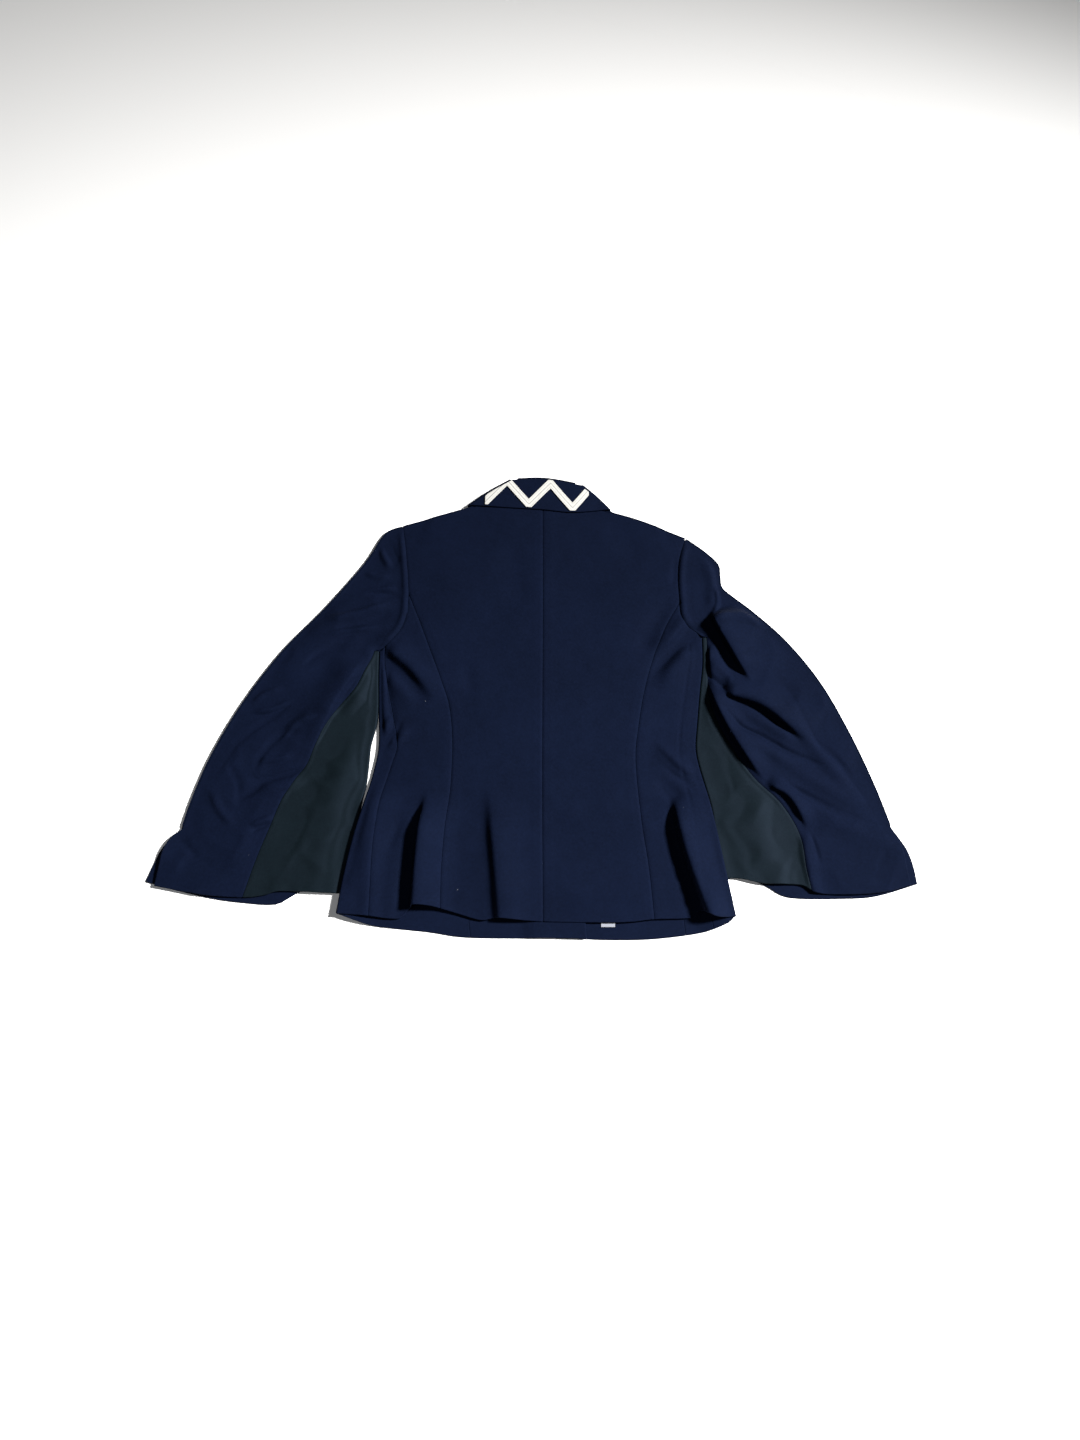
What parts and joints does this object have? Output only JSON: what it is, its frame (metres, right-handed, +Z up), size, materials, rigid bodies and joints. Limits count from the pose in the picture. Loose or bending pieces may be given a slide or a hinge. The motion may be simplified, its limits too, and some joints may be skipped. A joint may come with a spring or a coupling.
{
  "type": "tailored jacket, laid flat",
  "caption": "Tailored navy jacket laid face down, back up, with wide sleeves, dark green sleeve gussets and white zigzag tape on its turned collar.",
  "frame": {"origin": "on the surface that the jacket lies on, under the middle of its box", "axes": "+Z up from that surface to the jacket's back, +Y from the hem to the collar, +X to the wearer's right sleeve"},
  "size_m": [1.008, 0.6594, 0.0285],
  "materials": {
    "navy_cloth": "fine navy wool twill, soft sheen",
    "navy_cloth_dark": "navy undercollar cloth, matt",
    "green_cloth": "very dark green cloth, matt",
    "white_tape": "white woven tape, topstitched",
    "white_label": "plain white satin ribbon, blank",
    "navy_button": "dark navy resin, polished"
  },
  "bodies": {
    "root": {"back_left": "navy_cloth", "back_right": "navy_cloth", "side_back_left": "navy_cloth", "side_back_right": "navy_cloth", "side_front_left": "navy_cloth", "side_front_right": "navy_cloth", "front_left": "navy_cloth", "front_right": "navy_cloth", "lapel_left": "navy_cloth", "lapel_right": "navy_cloth", "collar_leaf": "navy_cloth", "collar_stand": "navy_cloth_dark", "collar_tape": "white_tape", "sleeve_top_left": "navy_cloth", "sleeve_top_right": "navy_cloth", "sleeve_under_left": "navy_cloth", "sleeve_under_right": "navy_cloth", "sleeve_gusset_left": "green_cloth", "sleeve_gusset_right": "green_cloth", "button_upper": "navy_button", "button_lower": "navy_button", "inner_label": "white_label"}
  },
  "joints": []
}
